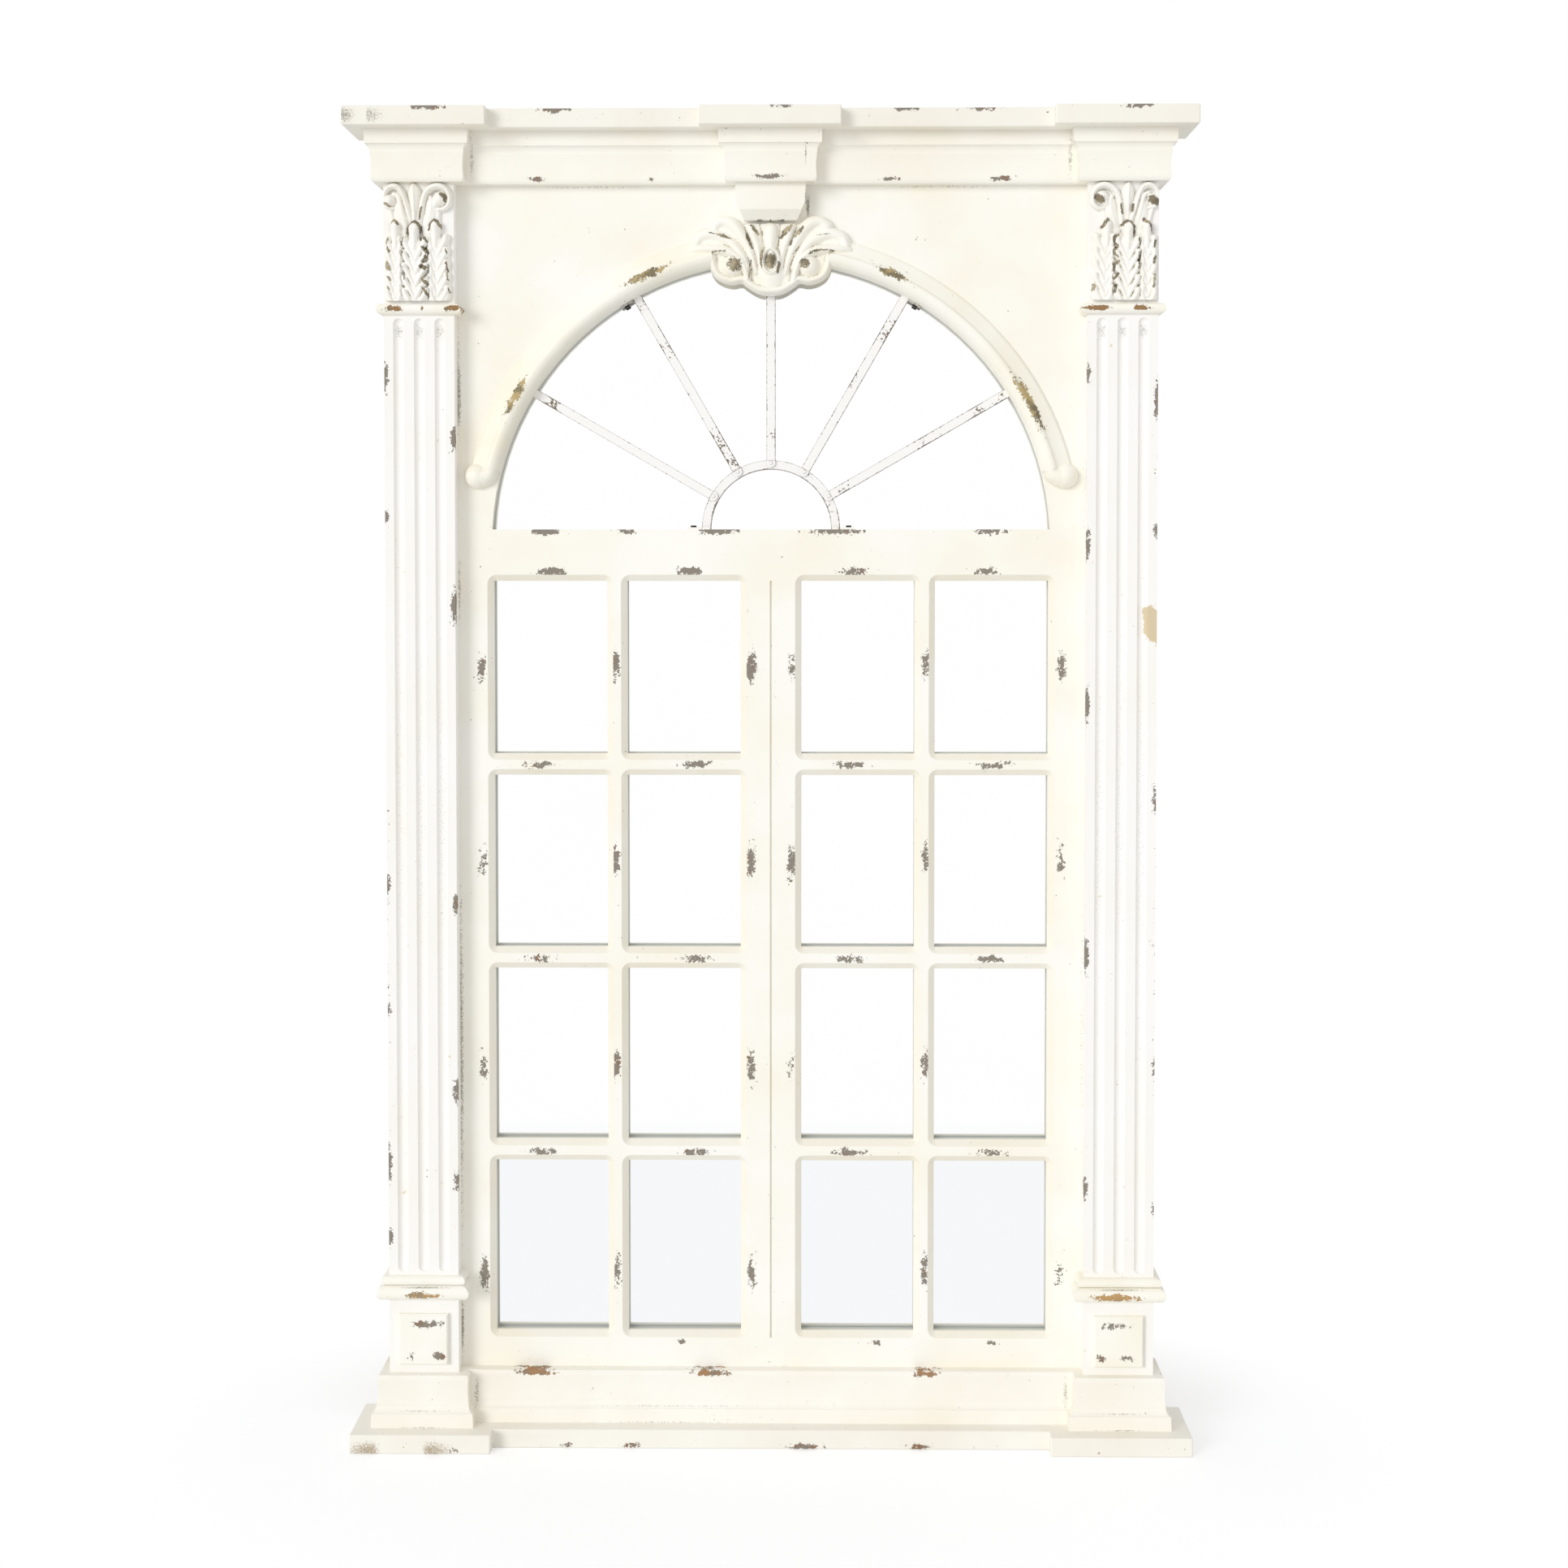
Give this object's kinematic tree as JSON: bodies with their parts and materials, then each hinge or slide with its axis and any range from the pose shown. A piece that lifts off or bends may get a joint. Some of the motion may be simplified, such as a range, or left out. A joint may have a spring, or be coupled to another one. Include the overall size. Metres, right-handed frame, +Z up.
{
  "type": "arched window mirror",
  "caption": "Tall painted wooden window-frame mirror: bevelled pane lattice, arched fanlight with an iron fan, fluted pilasters, moulded head and foot.",
  "frame": {"origin": "on the floor, below the middle of the object's box", "axes": "+X to the right seen from the front, +Y from the front towards the wall behind, +Z up"},
  "size_m": [1.15, 0.114, 1.829],
  "materials": {
    "painted_wood": "matt cream-white paint, chipped and speckled at its edges",
    "bare_wood": "planed softwood, unpainted",
    "hardboard": "smooth brown hardboard",
    "mirror_glass": "silvered flat glass",
    "painted_iron": "off-white paint worn to brown iron at its edges",
    "dark_screw": "blackened",
    "plated_steel": "zinc plated"
  },
  "bodies": {
    "root": {"arch_moulding_left": "painted_wood", "arch_moulding_right": "painted_wood", "back_rail_bottom": "bare_wood", "back_rail_middle": "bare_wood", "back_rail_top": "bare_wood", "back_stile_left": "bare_wood", "back_stile_right": "bare_wood", "base_block_left": "painted_wood", "base_block_right": "painted_wood", "base_run": "painted_wood", "base_slab": "painted_wood", "base_torus_left": "painted_wood", "base_torus_right": "painted_wood", "capital_left": "painted_wood", "capital_right": "painted_wood", "crown_block_centre": "painted_wood", "crown_block_left": "painted_wood", "crown_block_right": "painted_wood", "crown_run_left": "painted_wood", "crown_run_right": "painted_wood", "crown_slab": "painted_wood", "face_panel": "painted_wood", "fan_hub": "painted_iron", "fan_rivets": "painted_iron", "fan_screws": "dark_screw", "fan_spoke_1": "painted_iron", "fan_spoke_2": "painted_iron", "fan_spoke_3": "painted_iron", "fan_spoke_4": "painted_iron", "fan_spoke_5": "painted_iron", "frame_screws": "plated_steel", "hanger_plate_left": "plated_steel", "hanger_plate_right": "plated_steel", "hanger_screws": "plated_steel", "keystone": "painted_wood", "lower_backing": "hardboard", "lower_mirror": "mirror_glass", "lower_strip_bottom": "bare_wood", "lower_strip_left": "bare_wood", "lower_strip_right": "bare_wood", "lower_strip_top": "bare_wood", "necking_bead_left": "painted_wood", "necking_bead_right": "painted_wood", "pilaster_left": "painted_wood", "pilaster_right": "painted_wood", "shell_cartouche": "painted_wood", "tablet_left": "painted_wood", "tablet_right": "painted_wood", "upper_backing": "hardboard", "upper_mirror": "mirror_glass", "upper_strip_bottom": "bare_wood", "upper_strip_left": "bare_wood", "upper_strip_right": "bare_wood", "upper_strip_top": "bare_wood"}
  },
  "joints": []
}
